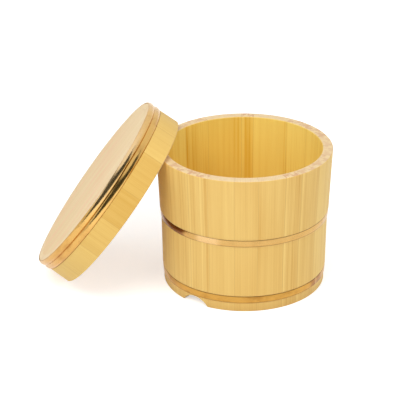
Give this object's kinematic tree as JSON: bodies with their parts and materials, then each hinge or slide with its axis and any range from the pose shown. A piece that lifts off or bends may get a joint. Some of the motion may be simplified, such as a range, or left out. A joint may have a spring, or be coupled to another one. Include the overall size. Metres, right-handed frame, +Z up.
{
  "type": "lidded rice tub",
  "caption": "Round coopered wooden tub for serving cooked rice, bound with copper hoops, with its deep covering lid taken off and leaning on the rim.",
  "frame": {"origin": "centre of the tub's foot, in the plane that it stands on", "axes": "+Z up along the tub's axis; the lid stands to the -X side and leans towards +X on to the rim"},
  "size_m": [0.3657, 0.2412, 0.2183],
  "materials": {
    "tub_staves": "bare planed softwood, straight grain up the stave",
    "bottom_boards": "bare planed softwood",
    "lid_staves": "bare planed softwood, straight grain up the stave",
    "lid_boards": "bare planed softwood, pale, grain along the boards",
    "tub_hoops": "copper strip, satin",
    "lid_hoop": "copper strip with two pressed beads, polished and darkly tarnished in streaks",
    "dowels": "bare bamboo"
  },
  "bodies": {
    "tub": {"tub_stave_1": "tub_staves", "tub_stave_2": "tub_staves", "tub_stave_3": "tub_staves", "tub_stave_4": "tub_staves", "tub_stave_5": "tub_staves", "tub_stave_6": "tub_staves", "tub_stave_7": "tub_staves", "tub_stave_8": "tub_staves", "tub_stave_9": "tub_staves", "tub_stave_10": "tub_staves", "tub_stave_11": "tub_staves", "tub_stave_12": "tub_staves", "tub_stave_13": "tub_staves", "tub_stave_14": "tub_staves", "tub_stave_15": "tub_staves", "tub_stave_16": "tub_staves", "tub_stave_17": "tub_staves", "tub_stave_18": "tub_staves", "tub_stave_19": "tub_staves", "tub_stave_20": "tub_staves", "bottom_board_1": "bottom_boards", "bottom_board_2": "bottom_boards", "bottom_board_3": "bottom_boards", "middle_hoop": "tub_hoops", "lower_hoop": "tub_hoops", "tub_stave_dowels": "dowels", "bottom_dowels": "dowels"},
    "lid": {"lid_stave_1": "lid_staves", "lid_stave_2": "lid_staves", "lid_stave_3": "lid_staves", "lid_stave_4": "lid_staves", "lid_stave_5": "lid_staves", "lid_stave_6": "lid_staves", "lid_stave_7": "lid_staves", "lid_stave_8": "lid_staves", "lid_stave_9": "lid_staves", "lid_stave_10": "lid_staves", "lid_stave_11": "lid_staves", "lid_stave_12": "lid_staves", "lid_stave_13": "lid_staves", "lid_stave_14": "lid_staves", "lid_stave_15": "lid_staves", "lid_stave_16": "lid_staves", "lid_board_1": "lid_boards", "lid_board_2": "lid_boards", "lid_board_3": "lid_boards", "lid_hoop": "lid_hoop", "lid_stave_dowels": "dowels", "lid_board_dowels": "dowels"}
  },
  "joints": [
    {"name": "lid_lift", "type": "slide", "parent": "tub", "child": "lid", "axis": [-0.8065, 0, 0.5913], "range_m": [0, 0.25]}
  ]
}
